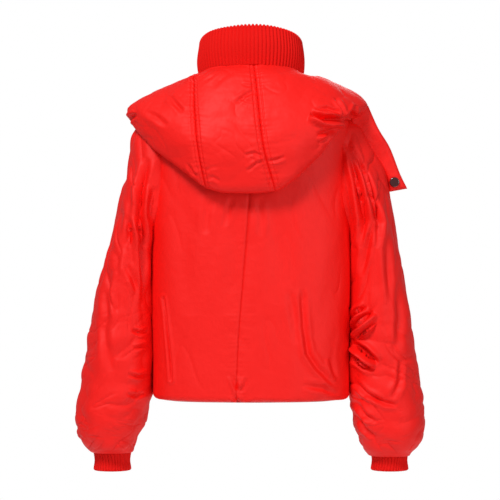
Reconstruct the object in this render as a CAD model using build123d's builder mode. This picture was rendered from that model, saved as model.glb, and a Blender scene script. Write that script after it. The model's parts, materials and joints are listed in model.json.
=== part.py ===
"""Cropped padded ski jacket with a knitted collar, knitted cuffs and a snap-off hood that lies on the back.

Frame: millimetres, +Z up. The origin is the centre of the neck opening, where the collar is sewn on.
The front faces -Y, the back faces +Y and the wearer's left side is +X.
"""

import os
from math import atan2, cos, radians, sin

from build123d import *

os.makedirs("parts", exist_ok=True)

# Body of the jacket
hem_drop = 575.0  # neck centre down to the hem
hem_half_width = 177.0
chest_half_width = 181.0
hem_front_y = -104.0
hem_back_y = 116.0
chest_back_y = 113.0
chest_drop = 200.0
underarm_drop = 320.0
side_seam_y = 10.0
side_taper = 2.0  # the body is this much narrower on each side at the underarm than at the chest

# Neck opening: an ellipse that is lower at the front
neck_half_width = 92.0
neck_half_depth = 74.0
neck_tilt_rise = 27.0  # the back of the opening is this far above the origin, the front this far below

# Knitted collar
collar_height = 75.0
collar_bulge = 5.0
knit_layer = 3.5
collar_padding_thickness = 4.0
collar_fold = 4.0  # solid knit above the padding, where the fabric folds over

# Layers of the body and sleeves, from the outside in
shell_thickness = 1.2
padding_thickness = 16.0
lining_thickness = 0.8
label_thickness = 1.2

# Sleeves
sleeve_head_drop = 58.0
elbow_drop = 400.0
sleeve_end_drop = 668.0
elbow_half_depth = 83.0
sleeve_clearance = 3.0  # between the side of the body and the sleeve
joint_gap = 0.4
cuff_half_width = 34.0
cuff_half_depth = 37.0
cuff_wall = 5.0
cuff_length = 36.0
cuff_offset = 71.5  # from the side of the chest out to the middle of the cuff
cuff_seat = 0.5  # the sleeve end is this much wider than the cuff on each side
cuff_pinch = 0.35  # share of the padding left where the sleeve is gathered into the cuff

# Front zip
zip_gap = 7.0  # half the opening between the two front edges
zip_edge = 8.0  # half the opening between the two padded edges
tape_half_width = 20.0
tape_thickness = 0.8
tooth_inner = 1.2
tooth_outer = 3.6
bead_outer = 4.6
tooth_length = 2.4
tooth_pitch = 5.0
tooth_thickness = 3.2
bead_thickness = 2.6
zip_end_margin = 4.0
zip_room = 60.0  # how far the gap in the front edges runs inwards
zip_box_height = 9.0
slider_length = 15.0
slider_clearance = 0.35
slider_plate = 1.4
slider_flange = 1.0
slider_post_length = 4.0
slider_stop_gap = 0.5
bail_wall = 1.5
pull_length = 30.0
pull_width = 9.0
pull_thickness = 1.6
pull_pin_radius = 0.7
pull_eye_radius = 1.6
pin_play = 0.3
pull_play = 0.5
wind_guard_reach = 40.0
wind_guard_overlap = 16.0
wind_guard_drop = 20.0  # from the neck seam down to the top of the guard

# Side pockets
pocket_mouth_x = 150.0
pocket_mouth_top_drop = 406.0
pocket_mouth_length = 117.0
pocket_mouth_width = 3.0
pocket_bag_depth = 60.0
pocket_bag_sheet = 1.6
pocket_bag_margin = 20.0

# Hood
hood_clearance = 2.0
hood_padding_thickness = 14.0
hood_front_half_gap = 62.0
hood_drop = 206.0
hood_half_width = 216.0
hood_lean = 5.0  # the hood lies this far over to the wearer's left
hood_depth = 53.0  # how far the hood stands out behind the back of the body
neck_band_thickness = 4.0
centre_panel_width = 120.0
centre_panel_top_x = 55.0
centre_panel_bottom_x = 18.0

# Snaps
snap_radius = 9.0
snap_height = 5.0
hood_snap_radius = 7.0
hood_snap_angles = (25.0, 155.0, -25.0, -155.0)
snap_seat_margin = 2.0
stud_radius = 3.5
stud_height = 2.5
snap_play = 1.3

# Chin flaps at the two front ends of the hood
flap_thickness = 14.0
left_flap_width = 66.0
left_flap_length = 140.0
left_flap_x = 150.0
left_flap_drop = 95.0
left_flap_snap_rise = 24.0  # from the foot of the flap up to its stud
right_flap_back_y = 20.0
right_flap_front_y = -35.0
right_flap_snap_out = 38.0
right_flap_snap_drop = 118.5

# Loop and label inside the neck
loop_width = 66.0
loop_drop = 26.0
loop_rise = 12.0  # top of the loop above the origin
loop_leg_length = 200.0
loop_tape_width = 8.0
loop_tape_thickness = 1.6
loop_gap = 13.0
label_width = 60.0
label_height = 26.0
label_drop = 12.0

# Worked out from the sizes above
body_insets = {
    "clear": -hood_clearance,
    "outside": 0.0,
    "shell": shell_thickness,
    "tape": shell_thickness + tape_thickness,
    "bag": shell_thickness + padding_thickness - pocket_bag_sheet,
    "padding": shell_thickness + padding_thickness,
    "lining": shell_thickness + padding_thickness + lining_thickness,
    "label": shell_thickness + padding_thickness + lining_thickness + label_thickness,
}
front_slope = (hem_front_y + neck_half_depth) / (-hem_drop + neck_tilt_rise)
front_lean = atan2(front_slope, 1.0)
beyond = 25.0  # how far cutting volumes run past what they cut
reach = 2000.0


def front_y(z):
    """Depth of the straight centre-front line at height z."""
    return -neck_half_depth + (z + neck_tilt_rise) * front_slope


def section_plane(front_z, back_y, back_z):
    """Plane through the centre-front line and the back point, with half the distance between them."""
    front = Vector(0, front_y(front_z), front_z)
    back = Vector(0, back_y, back_z)
    across = back - front
    normal = Vector(1, 0, 0).cross(across)
    return Plane(origin=(front + back) * 0.5, x_dir=(1, 0, 0), z_dir=normal), across.length / 2


def wrapped_volume(stations, inset):
    """Closed volume through elliptical sections that all touch the centre-front line, drawn in by inset."""
    with BuildPart() as volume:
        for front_z, back_y, back_z, half_width in stations:
            plane, half_depth = section_plane(front_z, back_y, back_z)
            with BuildSketch(plane):
                Ellipse(half_width - inset, half_depth - inset)
        loft(ruled=True)
    return volume.part


def level_volume(stations, inset):
    """Closed volume through level ellipses given by height, low and high x, low and high y and inset share."""
    with BuildPart() as volume:
        for z, low_x, high_x, low_y, high_y, share in stations:
            plane = Plane(origin=((low_x + high_x) / 2, (low_y + high_y) / 2, z))
            with BuildSketch(plane):
                Ellipse((high_x - low_x) / 2 - inset * share, (high_y - low_y) / 2 - inset * share)
        loft(ruled=True)
    return volume.part


def between(outer, inner):
    """The layer that is left when one volume is taken out of another."""
    with BuildPart() as layer:
        add(outer)
        add(inner, mode=Mode.SUBTRACT)
    return layer.part


def sided(side, near, far):
    """Low and high x of a span that lies on one side of the centre line."""
    return min(side * near, side * far), max(side * near, side * far)


# Stations of the body from the hem up to the neck: front height, back depth, back height, half width
shoulder_rise = chest_half_width - neck_half_width
body_stations = [
    (-hem_drop - beyond, hem_back_y, -hem_drop - beyond, hem_half_width),
    (-underarm_drop, hem_back_y - 1, -underarm_drop, chest_half_width - side_taper),
    (-chest_drop, chest_back_y, -chest_drop, chest_half_width),
    (-neck_tilt_rise - 115, chest_back_y - 2, neck_tilt_rise - 145, chest_half_width),
    (-neck_tilt_rise - 79, chest_back_y - 6, neck_tilt_rise - 93, chest_half_width - side_taper),
    (-neck_tilt_rise - 53, neck_half_depth + 27, neck_tilt_rise - 53, neck_half_width + 0.85 * shoulder_rise),
    (-neck_tilt_rise - 33, neck_half_depth + 19, neck_tilt_rise - 29, neck_half_width + 0.60 * shoulder_rise),
    (-neck_tilt_rise - 15, neck_half_depth + 10, neck_tilt_rise - 13, neck_half_width + 0.29 * shoulder_rise),
    (-neck_tilt_rise, neck_half_depth, neck_tilt_rise, neck_half_width),
]
body = {name: wrapped_volume(body_stations, inset) for name, inset in body_insets.items()}

# Stations of the collar from its seam to its folded top
collar_stations = [
    (-neck_tilt_rise, neck_half_depth, neck_tilt_rise, neck_half_width),
    (
        -neck_tilt_rise + collar_height / 2,
        neck_half_depth + collar_bulge,
        neck_tilt_rise + collar_height / 2,
        neck_half_width + collar_bulge,
    ),
    (
        -neck_tilt_rise + collar_height,
        neck_half_depth + 1,
        neck_tilt_rise + collar_height,
        neck_half_width + 1,
    ),
]
collar_insets = {
    "outside": 0.0,
    "shell": shell_thickness,
    "tape": shell_thickness + tape_thickness,
    "knit": knit_layer,
    "padding": knit_layer + collar_padding_thickness,
    "inside": 2 * knit_layer + collar_padding_thickness,
}
collar = {name: wrapped_volume(collar_stations, inset) for name, inset in collar_insets.items()}


def sleeve_stations(side):
    """Stations of one sleeve from its head to the cuff; side is 1 on the wearer's left, -1 on the right."""
    body_side = chest_half_width
    inner = body_side - side_taper + sleeve_clearance
    end_half_width = cuff_half_width + cuff_seat
    widths = [
        (-sleeve_head_drop, body_side - 53, body_side - 9, 0.36, 1.0),
        (-sleeve_head_drop - 17, body_side - 69, body_side + 12, 0.63, 1.0),
        (-sleeve_head_drop - 50, body_side - 77, body_side + 32, 0.82, 1.0),
        (-sleeve_head_drop - 112, body_side - 61, body_side + 48, 0.92, 1.0),
        (-sleeve_head_drop - 172, body_side - 31, body_side + 63, 0.96, 1.0),
        (-underarm_drop, inner, body_side + 85, 0.99, 1.0),
        (-elbow_drop, inner, body_side + 102, 1.0, 1.0),
        (-sleeve_end_drop + 185, inner, body_side + 117, 1.01, 1.0),
        (-sleeve_end_drop + 116, inner, body_side + 127, 1.01, 1.0),
        (-sleeve_end_drop + 77, inner + 7, body_side + 133, 1.0, 1.0),
        (-sleeve_end_drop + 41, inner + 15, body_side + 137, 0.96, 0.9),
        (-sleeve_end_drop + 19, inner + 22, body_side + 131, 0.84, 0.7),
    ]
    stations = []
    for z, near, far, depth_share, inset_share in widths:
        low_x, high_x = sided(side, near, far)
        half_depth = elbow_half_depth * depth_share
        stations.append((z, low_x, high_x, -half_depth, half_depth, inset_share))
    end_middle = body_side + cuff_offset
    low_x, high_x = sided(side, end_middle - end_half_width, end_middle + end_half_width)
    end_depth = cuff_half_depth + 2 * cuff_seat
    stations.append((-sleeve_end_drop, low_x, high_x, -end_depth, end_depth, cuff_pinch))
    return stations


sleeve = {}
for side in (1, -1):
    for name in ("clear", "outside", "shell", "padding", "lining"):
        sleeve[side, name] = level_volume(sleeve_stations(side), body_insets[name])

# Body layers: each is a ring open at the neck, the hem and the two armholes
sides = ((1, "left"), (-1, "right"))
shell_turn_z = -hem_drop + shell_thickness
layer_faces = {
    "panel": ("outside", "shell", -hem_drop),
    "padding": ("shell", "padding", shell_turn_z),
    "lining": ("padding", "lining", -hem_drop),
}
rings = {}
for layer, (outer, inner, bottom_z) in layer_faces.items():
    with BuildPart() as ring:
        add(body[outer])
        add(body[inner], mode=Mode.SUBTRACT)
        split(bisect_by=Plane.XY.offset(bottom_z), keep=Keep.TOP)
        for side, _ in sides:
            add(sleeve[side, "lining"], mode=Mode.SUBTRACT)
    rings[layer] = ring.part

# The outer fabric turns under the padding at the hem
with BuildPart() as hem_turn:
    add(body["outside"])
    add(body["padding"], mode=Mode.SUBTRACT)
    split(bisect_by=Plane.XY.offset(-hem_drop), keep=Keep.TOP)
    split(bisect_by=Plane.XY.offset(shell_turn_z), keep=Keep.BOTTOM)
with BuildPart() as turned_ring:
    add(rings["panel"])
    add(hem_turn.part)
rings["panel"] = turned_ring.part

# Front zip, drawn on the plane that touches the centre-front line; local y runs up the zip
zip_normal = (0, -cos(front_lean), sin(front_lean))
zip_plane = Plane(origin=(0, front_y(0), 0), x_dir=(1, 0, 0), z_dir=zip_normal)
zip_bottom = (-hem_drop + zip_end_margin) / cos(front_lean)
zip_top = (collar_height - neck_tilt_rise - zip_end_margin) / cos(front_lean)
chain_bottom = zip_bottom + zip_box_height
chain_depth = -(shell_thickness + tape_thickness / 2)  # middle of the chain, behind the outer fabric


def centred_block(low, high, plane):
    """Box between two corners given in a plane's own coordinates."""
    middle = [(a + b) / 2 for a, b in zip(low, high)]
    size = [b - a for a, b in zip(low, high)]
    return plane * Pos(*middle) * Box(*size, mode=Mode.PRIVATE)


tapes = {}
for side, word in sides:
    tape_low, tape_high = sided(side, bead_outer, tape_half_width)
    with BuildPart() as zip_tape:
        add(body["shell"])
        add(body["tape"], mode=Mode.SUBTRACT)
        split(bisect_by=Plane.XY.offset(-hem_drop + zip_end_margin), keep=Keep.TOP)
        add(between(collar["shell"], collar["tape"]))
        strip = centred_block((tape_low, -reach, -beyond), (tape_high, reach, beyond), zip_plane)
        add(strip, mode=Mode.INTERSECT)
    zip_tape.part.label = f"zip_tape_{word}"
    export_step(zip_tape.part, f"parts/zip_tape_{word}.step")
    tapes[side] = zip_tape.part

    with BuildPart() as zip_teeth:
        bead_low, bead_high = sided(side, tooth_outer, bead_outer)
        half_bead = bead_thickness / 2
        add(
            centred_block(
                (bead_low, chain_bottom, chain_depth - half_bead),
                (bead_high, zip_top, chain_depth + half_bead),
                zip_plane,
            )
        )
        count = int((zip_top - chain_bottom - zip_end_margin) / tooth_pitch)
        start = chain_bottom + tooth_length + (0 if side > 0 else tooth_pitch / 2)
        tooth_x = side * (tooth_inner + tooth_outer) / 2
        with BuildSketch(zip_plane.offset(chain_depth - tooth_thickness / 2)):
            with Locations(*[(tooth_x, start + step * tooth_pitch) for step in range(count)]):
                Rectangle(tooth_outer - tooth_inner, tooth_length)
        extrude(amount=tooth_thickness)
    zip_teeth.part.label = f"zip_teeth_{word}"
    export_step(zip_teeth.part, f"parts/zip_teeth_{word}.step")

# Box and pin at the foot of the zip, and the stops at its head
with BuildPart() as zip_box:
    add(
        centred_block(
            (-bead_outer, zip_bottom, chain_depth - tooth_thickness / 2),
            (bead_outer, chain_bottom, chain_depth + tooth_thickness / 2),
            zip_plane,
        )
    )
zip_box.part.label = "zip_box"
export_step(zip_box.part, "parts/zip_box.step")

# Gap in the padded edges that leaves the slider room behind the tape
front_gap = centred_block((-zip_edge, -reach, -zip_room), (zip_edge, reach, beyond), zip_plane)
shell_gap = centred_block((-zip_gap, -reach, -zip_room), (zip_gap, reach, beyond), zip_plane)

# Side pockets: a flat bag behind the padding, reached through a mouth in the back panel
pocket_bottom_z = -pocket_mouth_top_drop - pocket_mouth_length
bags = {}
mouths = {}
for side, word in sides:
    mouth_low, _ = sided(side, pocket_mouth_x, pocket_mouth_x + pocket_mouth_width)
    mouth_corner = (mouth_low, side_seam_y, pocket_bottom_z)
    with BuildPart() as pocket_mouth:
        add(body["outside"])
        add(body["bag"], mode=Mode.SUBTRACT)
        with Locations(mouth_corner):
            Box(
                pocket_mouth_width,
                hem_back_y,
                pocket_mouth_length,
                align=(Align.MIN, Align.MIN, Align.MIN),
                mode=Mode.INTERSECT,
            )
    pocket_mouth.part.label = f"pocket_mouth_{word}"
    export_step(pocket_mouth.part, f"parts/pocket_mouth_{word}.step")
    mouths[side] = pocket_mouth.part

    bag_inner_x = pocket_mouth_x - pocket_bag_depth
    bag_low, _ = sided(side, bag_inner_x, chest_half_width + beyond)
    bag_bottom_z = pocket_bottom_z - pocket_bag_margin / 2
    with BuildPart() as pocket_bag:
        add(body["bag"])
        add(body["padding"], mode=Mode.SUBTRACT)
        with Locations((bag_low, hem_front_y - beyond, bag_bottom_z)):
            Box(
                chest_half_width + beyond - bag_inner_x,
                hem_back_y - hem_front_y + 2 * beyond,
                pocket_mouth_length + pocket_bag_margin,
                align=(Align.MIN, Align.MIN, Align.MIN),
                mode=Mode.INTERSECT,
            )
    pocket_bag.part.label = f"pocket_bag_{word}"
    export_step(pocket_bag.part, f"parts/pocket_bag_{word}.step")
    bags[side] = pocket_bag.part

# Outer panels and padding of the body, cut at the centre lines and the side seams
side_seam = Plane.XZ.offset(-side_seam_y)
for side, word in sides:
    half = Keep.TOP if side > 0 else Keep.BOTTOM
    with BuildPart() as back_panel:
        add(rings["panel"])
        split(bisect_by=Plane.YZ, keep=half)
        split(bisect_by=side_seam, keep=Keep.BOTTOM)
        add(mouths[side], mode=Mode.SUBTRACT)
    back_panel.part.label = f"back_panel_{word}"
    export_step(back_panel.part, f"parts/back_panel_{word}.step")

    with BuildPart() as front_panel:
        add(rings["panel"])
        split(bisect_by=Plane.YZ, keep=half)
        split(bisect_by=side_seam, keep=Keep.TOP)
        add(shell_gap, mode=Mode.SUBTRACT)
    front_panel.part.label = f"front_panel_{word}"
    export_step(front_panel.part, f"parts/front_panel_{word}.step")

    with BuildPart() as back_padding:
        add(rings["padding"])
        split(bisect_by=Plane.YZ, keep=half)
        split(bisect_by=side_seam, keep=Keep.BOTTOM)
        add(mouths[side], mode=Mode.SUBTRACT)
        add(bags[side], mode=Mode.SUBTRACT)
    back_padding.part.label = f"back_padding_{word}"
    export_step(back_padding.part, f"parts/back_padding_{word}.step")

    with BuildPart() as front_padding:
        add(rings["padding"])
        split(bisect_by=Plane.YZ, keep=half)
        split(bisect_by=side_seam, keep=Keep.TOP)
        add(front_gap, mode=Mode.SUBTRACT)
        add(tapes[side], mode=Mode.SUBTRACT)
        add(bags[side], mode=Mode.SUBTRACT)
    front_padding.part.label = f"front_padding_{word}"
    export_step(front_padding.part, f"parts/front_padding_{word}.step")

    with BuildPart() as front_lining:
        add(rings["lining"])
        split(bisect_by=Plane.YZ, keep=half)
        split(bisect_by=side_seam, keep=Keep.TOP)
        add(front_gap, mode=Mode.SUBTRACT)
    front_lining.part.label = f"front_lining_{word}"
    export_step(front_lining.part, f"parts/front_lining_{word}.step")

with BuildPart() as back_lining:
    add(rings["lining"])
    split(bisect_by=side_seam, keep=Keep.BOTTOM)
back_lining.part.label = "back_lining"
export_step(back_lining.part, "parts/back_lining.step")

# Strip behind the zip that keeps the wind out, sewn to the left front lining
with BuildPart() as wind_guard:
    add(body["lining"])
    add(body["label"], mode=Mode.SUBTRACT)
    split(bisect_by=Plane.XY.offset(-hem_drop + 2 * zip_end_margin), keep=Keep.TOP)
    split(bisect_by=Plane.XY.offset(-neck_tilt_rise - wind_guard_drop), keep=Keep.BOTTOM)
    guard_low = (-wind_guard_overlap, -reach, -zip_room)
    guard = centred_block(guard_low, (wind_guard_reach, reach, beyond), zip_plane)
    add(guard, mode=Mode.INTERSECT)
wind_guard.part.label = "wind_guard"
export_step(wind_guard.part, "parts/wind_guard.step")

# Blank label inside the back of the neck
with BuildPart() as neck_label:
    add(body["lining"])
    add(body["label"], mode=Mode.SUBTRACT)
    with Locations((0, 0, -label_height - label_drop)):
        Box(
            label_width,
            reach,
            label_height,
            align=(Align.CENTER, Align.MIN, Align.MIN),
            mode=Mode.INTERSECT,
        )
neck_label.part.label = "neck_label"
export_step(neck_label.part, "parts/neck_label.step")

# Knitted collar: two layers of rib folded over at the top, with padding between them
collar_top_plane, _ = section_plane(
    -neck_tilt_rise + collar_height, neck_half_depth + 1, neck_tilt_rise + collar_height
)
collar_gap = centred_block((-tape_half_width, -reach, -zip_room), (tape_half_width, reach, beyond), zip_plane)
with BuildPart() as collar_padding:
    add(collar["knit"])
    add(collar["padding"], mode=Mode.SUBTRACT)
    split(bisect_by=collar_top_plane.offset(-collar_fold), keep=Keep.BOTTOM)
    add(collar_gap, mode=Mode.SUBTRACT)
collar_padding.part.label = "collar_padding"
export_step(collar_padding.part, "parts/collar_padding.step")

with BuildPart() as knit_collar:
    add(collar["outside"])
    add(collar["inside"], mode=Mode.SUBTRACT)
    add(collar_padding.part, mode=Mode.SUBTRACT)
    add(front_gap, mode=Mode.SUBTRACT)
    add(tapes[1], mode=Mode.SUBTRACT)
    add(tapes[-1], mode=Mode.SUBTRACT)
knit_collar.part.label = "knit_collar"
export_step(knit_collar.part, "parts/knit_collar.step")

# Sleeves: shell, padding and lining, each cut at the elbow, with a knitted cuff below
elbow_plane = Plane.XY.offset(-elbow_drop)
lower_plane = Plane.XY.offset(-elbow_drop - joint_gap)
sleeve_layers = (
    ("shell", "outside", "shell"),
    ("padding", "shell", "padding"),
    ("lining", "padding", "lining"),
)
for side, word in sides:
    for layer, outer, inner in sleeve_layers:
        with BuildPart() as upper_sleeve:
            add(sleeve[side, outer])
            add(sleeve[side, inner], mode=Mode.SUBTRACT)
            split(bisect_by=elbow_plane, keep=Keep.TOP)
            add(body["outside"], mode=Mode.SUBTRACT)
        upper_sleeve.part.label = f"upper_sleeve_{layer}_{word}"
        export_step(upper_sleeve.part, f"parts/upper_sleeve_{layer}_{word}.step")

        with BuildPart() as lower_sleeve:
            add(sleeve[side, outer])
            add(sleeve[side, inner], mode=Mode.SUBTRACT)
            split(bisect_by=lower_plane, keep=Keep.BOTTOM)
        lower_sleeve.part.label = f"lower_sleeve_{layer}_{word}"
        export_step(lower_sleeve.part, f"parts/lower_sleeve_{layer}_{word}.step")

    cuff_centre_x = side * (chest_half_width + cuff_offset)
    with BuildPart() as knit_cuff:
        with BuildSketch(Plane(origin=(cuff_centre_x, 0, -sleeve_end_drop))):
            Ellipse(cuff_half_width, cuff_half_depth)
            Ellipse(cuff_half_width - cuff_wall, cuff_half_depth - cuff_wall, mode=Mode.SUBTRACT)
        extrude(amount=-cuff_length)
    knit_cuff.part.label = f"knit_cuff_{word}"
    export_step(knit_cuff.part, f"parts/knit_cuff_{word}.step")

# Zip slider and pull. The slider stands just below the stops at the head of the zip
slider_top = zip_top - zip_end_margin
slider_foot = slider_top - slider_length
chain_front = chain_depth + tooth_thickness / 2
chain_back = chain_depth - tooth_thickness / 2
plate_front = chain_front + slider_clearance
plate_back = chain_back - slider_clearance
slider_half_width = bead_outer + slider_clearance + slider_flange
flange_front = slider_clearance - shell_thickness
flange_back = -shell_thickness - tape_thickness - slider_clearance
post_half_width = tooth_inner - slider_clearance
bail_half_width = bail_wall
bail_radius = pull_pin_radius + bail_wall
pin_height = plate_front + slider_plate + pull_eye_radius + pull_play
pin_along = (slider_top + slider_foot) / 2

with BuildPart() as zip_stops:
    for side, _ in sides:
        low_x, high_x = sided(side, tooth_inner, tooth_outer)
        low = (low_x, slider_top + slider_stop_gap, chain_back)
        high = (high_x, zip_top, chain_front)
        add(centred_block(low, high, zip_plane))
zip_stops.part.label = "zip_stops"
export_step(zip_stops.part, "parts/zip_stops.step")

# Local x of this plane runs up the zip and local y points out of the front
bail_plane = Plane(
    origin=zip_plane.from_local_coords((0, pin_along, pin_height)),
    x_dir=zip_plane.y_dir,
    z_dir=(1, 0, 0),
)
with BuildPart() as zip_slider:
    for plate_low in (plate_front, plate_back - slider_plate):
        low = (-slider_half_width, slider_foot, plate_low)
        high = (slider_half_width, slider_top, plate_low + slider_plate)
        add(centred_block(low, high, zip_plane))
    for side, _ in sides:
        low_x, high_x = sided(side, slider_half_width - slider_flange, slider_half_width)
        add(centred_block((low_x, slider_foot, flange_front), (high_x, slider_top, plate_front), zip_plane))
        add(centred_block((low_x, slider_foot, plate_back), (high_x, slider_top, flange_back), zip_plane))
    post_low = (-post_half_width, slider_top - slider_post_length, plate_back - slider_plate / 2)
    post_high = (post_half_width, slider_top, plate_front + slider_plate / 2)
    add(centred_block(post_low, post_high, zip_plane))
    with BuildSketch(bail_plane.offset(-bail_half_width)):
        Circle(bail_radius)
        bail_foot = pin_height - plate_front - slider_plate / 2
        with Locations((0, -bail_foot / 2)):
            Rectangle(2 * bail_radius, bail_foot)
        Circle(pull_pin_radius + pin_play, mode=Mode.SUBTRACT)
    extrude(amount=2 * bail_half_width)
zip_slider.part.label = "zip_slider"
export_step(zip_slider.part, "parts/zip_slider.step")

# The pull hangs from the bail on a pin, with a fork on each side of it
with BuildPart() as zip_pull:
    with BuildSketch(bail_plane.offset(-pull_width / 2)):
        Circle(pull_eye_radius)
        with Locations((-pull_length / 2, 0)):
            Rectangle(pull_length, pull_thickness)
    extrude(amount=pull_width)
    with BuildSketch(bail_plane.offset(-bail_half_width - pull_play)):
        Rectangle(2 * (bail_radius + pull_play), 4 * bail_radius)
    extrude(amount=2 * (bail_half_width + pull_play), mode=Mode.SUBTRACT)
    with BuildSketch(bail_plane.offset(-bail_half_width - 2 * pull_play)):
        Circle(pull_pin_radius)
    extrude(amount=2 * (bail_half_width + 2 * pull_play))
zip_pull.part.label = "zip_pull"
export_step(zip_pull.part, "parts/zip_pull.step")

# Hood, folded down on the back: stations of its outside from its foot to the collar
hood_low_x = hood_lean - hood_half_width
hood_high_x = hood_lean + hood_half_width
hood_back_y = chest_back_y + hood_depth
hood_stations = [
    (-hood_drop, hood_low_x + 171, hood_high_x - 171, hood_back_y - 46, hood_back_y - 14, 0.5),
    (-hood_drop + 9, hood_low_x + 131, hood_high_x - 137, hood_back_y - 60, hood_back_y - 7, 0.8),
    (-hood_drop + 24, hood_low_x + 111, hood_high_x - 116, hood_back_y - 81, hood_back_y - 4, 1.0),
    (-hood_drop + 48, hood_low_x + 88, hood_high_x - 84, hood_back_y - 114, hood_back_y - 1, 1.0),
    (-hood_drop + 76, hood_low_x + 62, hood_high_x - 48, hood_back_y - 172, hood_back_y, 1.0),
    (-hood_drop + 106, hood_low_x + 22, hood_high_x - 20, hood_back_y - 222, hood_back_y - 2, 1.0),
    (-hood_drop + 134, hood_low_x, hood_high_x, hood_back_y - 252, hood_back_y - 8, 1.0),
    (-hood_drop + 161, hood_low_x, hood_high_x, hood_back_y - 262, hood_back_y - 18, 1.0),
    (-hood_drop + 186, hood_low_x + 35, hood_high_x - 35, hood_back_y - 256, hood_back_y - 32, 1.0),
    (-hood_drop + 214, hood_low_x + 84, hood_high_x - 90, hood_back_y - 242, hood_back_y - 52, 1.0),
    (-hood_drop + 234, hood_low_x + 106, hood_high_x - 116, hood_back_y - 226, hood_back_y - 72, 1.0),
]
hood_insets = {
    "outside": 0.0,
    "shell": shell_thickness,
    "padding": shell_thickness + hood_padding_thickness,
    "lining": shell_thickness + hood_padding_thickness + lining_thickness,
}
hood = {name: level_volume(hood_stations, inset) for name, inset in hood_insets.items()}

# What the hood has to clear: the body, both sleeves, the collar it is lifted over and the front opening
neck_plane, _ = section_plane(-neck_tilt_rise, neck_half_depth, neck_tilt_rise)
collar_way_x = neck_half_width + collar_bulge + hood_clearance
collar_way_y = neck_half_depth + collar_bulge + hood_clearance
with BuildPart() as collar_way:
    with BuildSketch(Plane.XY.offset(-hood_drop)):
        Ellipse(collar_way_x, collar_way_y)
    extrude(amount=2 * hood_drop)
with BuildPart() as front_way:
    with Locations((0, 0, -hood_drop)):
        Box(2 * hood_front_half_gap, reach, 2 * hood_drop, align=(Align.CENTER, Align.MAX, Align.MIN))


def cleared(layer):
    """A layer of the hood, cut back from everything that it has to clear."""
    with BuildPart() as kept:
        add(layer)
        split(bisect_by=neck_plane.offset(hood_clearance), keep=Keep.BOTTOM)
        add(body["clear"], mode=Mode.SUBTRACT)
        add(collar_way.part, mode=Mode.SUBTRACT)
        for side, _ in sides:
            add(sleeve[side, "clear"], mode=Mode.SUBTRACT)
        add(front_way.part, mode=Mode.SUBTRACT)
    return kept.part


# The centre panel of the hood runs between two seams that lean with it
with BuildPart() as centre_slab:
    with BuildSketch(Plane.XZ.offset(-reach / 2)):
        with BuildLine():
            half_panel = centre_panel_width / 2
            Polyline(
                (centre_panel_top_x - half_panel, collar_height),
                (centre_panel_top_x + half_panel, collar_height),
                (centre_panel_bottom_x + half_panel, -hood_drop - beyond),
                (centre_panel_bottom_x - half_panel, -hood_drop - beyond),
                close=True,
            )
        make_face()
    extrude(amount=reach)

hood_shell = cleared(between(hood["outside"], hood["shell"]))

with BuildPart() as hood_centre_panel:
    add(hood_shell)
    add(centre_slab.part, mode=Mode.INTERSECT)
    split(bisect_by=Plane.XZ, keep=Keep.BOTTOM)
hood_centre_panel.part.label = "hood_centre_panel"
export_step(hood_centre_panel.part, "parts/hood_centre_panel.step")

for side, word in sides:
    with BuildPart() as hood_side_panel:
        add(hood_shell)
        add(centre_slab.part, mode=Mode.SUBTRACT)
        split(bisect_by=Plane.YZ.offset(centre_panel_bottom_x), keep=Keep.TOP if side > 0 else Keep.BOTTOM)
    hood_side_panel.part.label = f"hood_side_panel_{word}"
    export_step(hood_side_panel.part, f"parts/hood_side_panel_{word}.step")

# Neck band of the hood: a firm strip all round its neck edge
with BuildPart() as neck_band_ring:
    with BuildSketch(Plane.XY.offset(-hood_drop)):
        Ellipse(collar_way_x + neck_band_thickness, collar_way_y + neck_band_thickness)
        Ellipse(collar_way_x, collar_way_y, mode=Mode.SUBTRACT)
    extrude(amount=2 * hood_drop)
with BuildPart() as band_in_hood:
    add(hood["lining"])
    add(neck_band_ring.part, mode=Mode.INTERSECT)

# Snaps that hold the hood on: studs on the shoulders, sockets in the underside of the hood
snap_station = body_stations[-3]
snap_plane, snap_half_depth = section_plane(*snap_station[:3])
snap_half_width = snap_station[3]
snap_points = []
for angle in hood_snap_angles:
    local = (snap_half_width * cos(radians(angle)), snap_half_depth * sin(radians(angle)), 0)
    snap_points.append(snap_plane.from_local_coords(local))
with BuildPart() as hood_snap_studs:
    for point in snap_points:
        with BuildSketch(Plane(origin=(point.X, point.Y, point.Z - 2 * stud_radius))):
            Circle(stud_radius)
        extrude(amount=2 * stud_radius + stud_height)
    add(body["outside"], mode=Mode.SUBTRACT)
hood_snap_studs.part.label = "hood_snap_studs"
export_step(hood_snap_studs.part, "parts/hood_snap_studs.step")

with BuildPart() as snap_seats:
    for point in snap_points:
        with BuildSketch(Plane(origin=(point.X, point.Y, point.Z - 2 * stud_radius))):
            Circle(hood_snap_radius)
        extrude(amount=2 * stud_radius + snap_height + snap_seat_margin)
with BuildPart() as hood_snap_sockets:
    add(snap_seats.part)
    for point in snap_points:
        with BuildSketch(Plane(origin=(point.X, point.Y, point.Z - 2 * stud_radius))):
            Circle(stud_radius + snap_play)
        extrude(amount=2 * stud_radius + snap_height, mode=Mode.SUBTRACT)
    add(body["clear"], mode=Mode.SUBTRACT)
hood_snap_sockets.part.label = "hood_snap_sockets"
export_step(hood_snap_sockets.part, "parts/hood_snap_sockets.step")

with BuildPart() as hood_neck_band:
    add(cleared(band_in_hood.part))
    add(snap_seats.part, mode=Mode.SUBTRACT)
hood_neck_band.part.label = "hood_neck_band"
export_step(hood_neck_band.part, "parts/hood_neck_band.step")

for layer, outer, inner in (("padding", "shell", "padding"), ("lining", "padding", "lining")):
    with BuildPart() as hood_layer:
        add(cleared(between(hood[outer], hood[inner])))
        add(snap_seats.part, mode=Mode.SUBTRACT)
    hood_layer.part.label = f"hood_{layer}"
    export_step(hood_layer.part, f"parts/hood_{layer}.step")

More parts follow.
